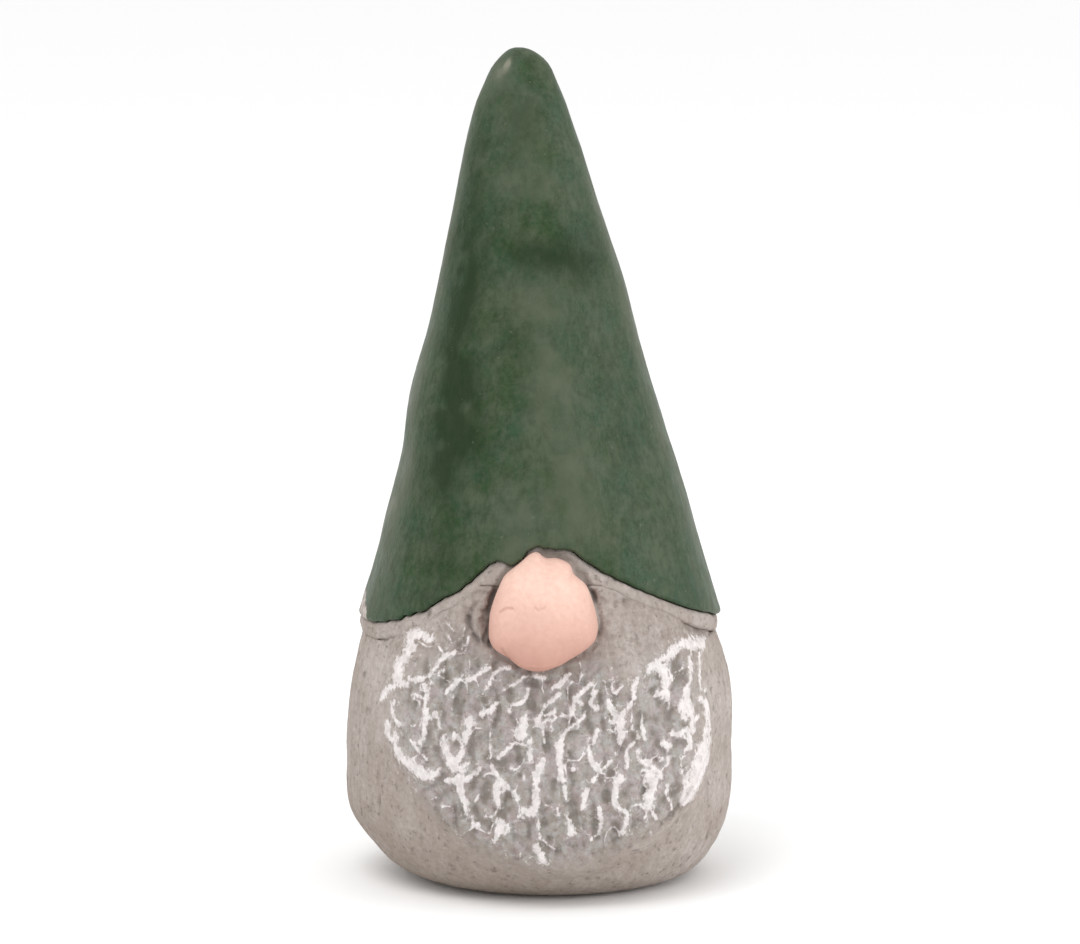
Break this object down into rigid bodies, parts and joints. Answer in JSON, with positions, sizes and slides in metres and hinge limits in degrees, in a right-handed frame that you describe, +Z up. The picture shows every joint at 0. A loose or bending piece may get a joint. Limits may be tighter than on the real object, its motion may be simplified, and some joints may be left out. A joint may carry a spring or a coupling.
{
  "type": "tomte gnome figurine",
  "caption": "Free-standing clay gnome with a tall painted cone hat, a pressed nose and a combed white-brushed beard over a hollow rounded pot body.",
  "frame": {"origin": "under the middle of the bounding box, on the surface that the figurine stands on", "axes": "+Z up through the hat's tip, the face looks towards -Y, +X to the viewer's right"},
  "size_m": [0.0602, 0.0622, 0.1288],
  "materials": {
    "bare_clay": "unglazed grey clay, matt, finely pitted",
    "hat_paint": "fired clay under satin dark green paint",
    "coil_clay": "unglazed grey clay, matt",
    "beard_clay": "combed grey clay, white paint dry-brushed on its ridges",
    "nose_paint": "fired clay under matt peach paint"
  },
  "bodies": {
    "root": {"pot_body": "bare_clay", "hat_cone": "hat_paint", "luting_coil": "coil_clay", "beard_pad": "beard_clay", "nose": "nose_paint"}
  },
  "joints": []
}
